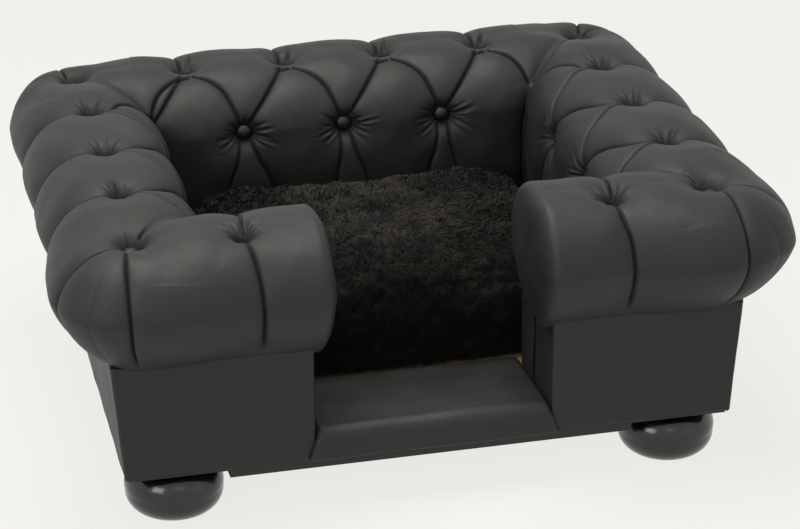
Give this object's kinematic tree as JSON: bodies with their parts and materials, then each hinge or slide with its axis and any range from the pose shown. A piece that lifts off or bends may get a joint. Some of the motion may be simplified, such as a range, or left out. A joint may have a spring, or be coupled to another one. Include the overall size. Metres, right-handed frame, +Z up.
{
  "type": "pet bed",
  "caption": "Chesterfield dog bed with deep-buttoned rolled arms and back, an open front with a low padded sill, a loose faux-fur cushion and bun feet.",
  "frame": {"origin": "on the floor, midway between the sides and midway between the foremost and rearmost points of the rolls", "axes": "+Z up, -Y to the open front, +X to the right as seen from the front"},
  "size_m": [0.812, 0.674, 0.3363],
  "materials": {
    "cover_leather": "soft matte faux leather, fine grain",
    "panel_leather": "soft matte faux leather, stretched flat",
    "button_leather": "faux leather over a domed button",
    "foot_lacquer": "black lacquer on turned wood",
    "core_foam": "firm polyurethane foam",
    "zinc_steel": "zinc-plated steel",
    "dust_cloth": "black non-woven cloth",
    "faux_fur": "long-pile faux fur",
    "cushion_fill": "fibre filling in a plain case",
    "plywood": "birch plywood, sawn",
    "pine": "planed pine",
    "stained_pine": "planed pine, stained black"
  },
  "bodies": {
    "bed": {"arm_tack_rails": "pine", "back_inner_board": "plywood", "back_inner_buttons": "button_leather", "back_roll_board": "plywood", "back_roll_core": "core_foam", "back_tack_rail": "pine", "back_top_buttons": "button_leather", "back_tufted_pad": "cover_leather", "base_board": "plywood", "corner_blocks": "stained_pine", "corner_buttons": "button_leather", "corner_posts": "pine", "dust_cover": "dust_cloth", "entry_posts": "pine", "front_batten": "stained_pine", "front_left_foot": "foot_lacquer", "front_right_foot": "foot_lacquer", "front_tack_rails": "pine", "hanger_bolts": "zinc_steel", "left_arm_inner_board": "plywood", "left_arm_inner_buttons": "button_leather", "left_arm_roll_board": "plywood", "left_arm_roll_core": "core_foam", "left_arm_top_buttons": "button_leather", "left_arm_tufted_pad": "cover_leather", "left_batten": "stained_pine", "left_entry_panel": "panel_leather", "left_front_inner_board": "plywood", "left_front_panel": "panel_leather", "left_front_roll_board": "plywood", "left_front_roll_core": "core_foam", "left_front_top_button": "button_leather", "left_front_tufted_pad": "cover_leather", "outer_back_panel": "panel_leather", "outer_left_panel": "panel_leather", "outer_right_panel": "panel_leather", "rear_batten": "stained_pine", "rear_left_foot": "foot_lacquer", "rear_right_foot": "foot_lacquer", "right_arm_inner_board": "plywood", "right_arm_inner_buttons": "button_leather", "right_arm_roll_board": "plywood", "right_arm_roll_core": "core_foam", "right_arm_top_buttons": "button_leather", "right_arm_tufted_pad": "cover_leather", "right_batten": "stained_pine", "right_entry_panel": "panel_leather", "right_front_inner_board": "plywood", "right_front_panel": "panel_leather", "right_front_roll_board": "plywood", "right_front_roll_core": "core_foam", "right_front_top_button": "button_leather", "right_front_tufted_pad": "cover_leather", "sill_pad": "cover_leather", "tee_nuts": "zinc_steel"},
    "cushion": {"cushion_cover": "faux_fur", "cushion_filling": "cushion_fill"}
  },
  "joints": [
    {"name": "cushion_lift", "type": "slide", "parent": "bed", "child": "cushion", "axis": [0, 0, 1], "range_m": [0, 0.3]}
  ]
}
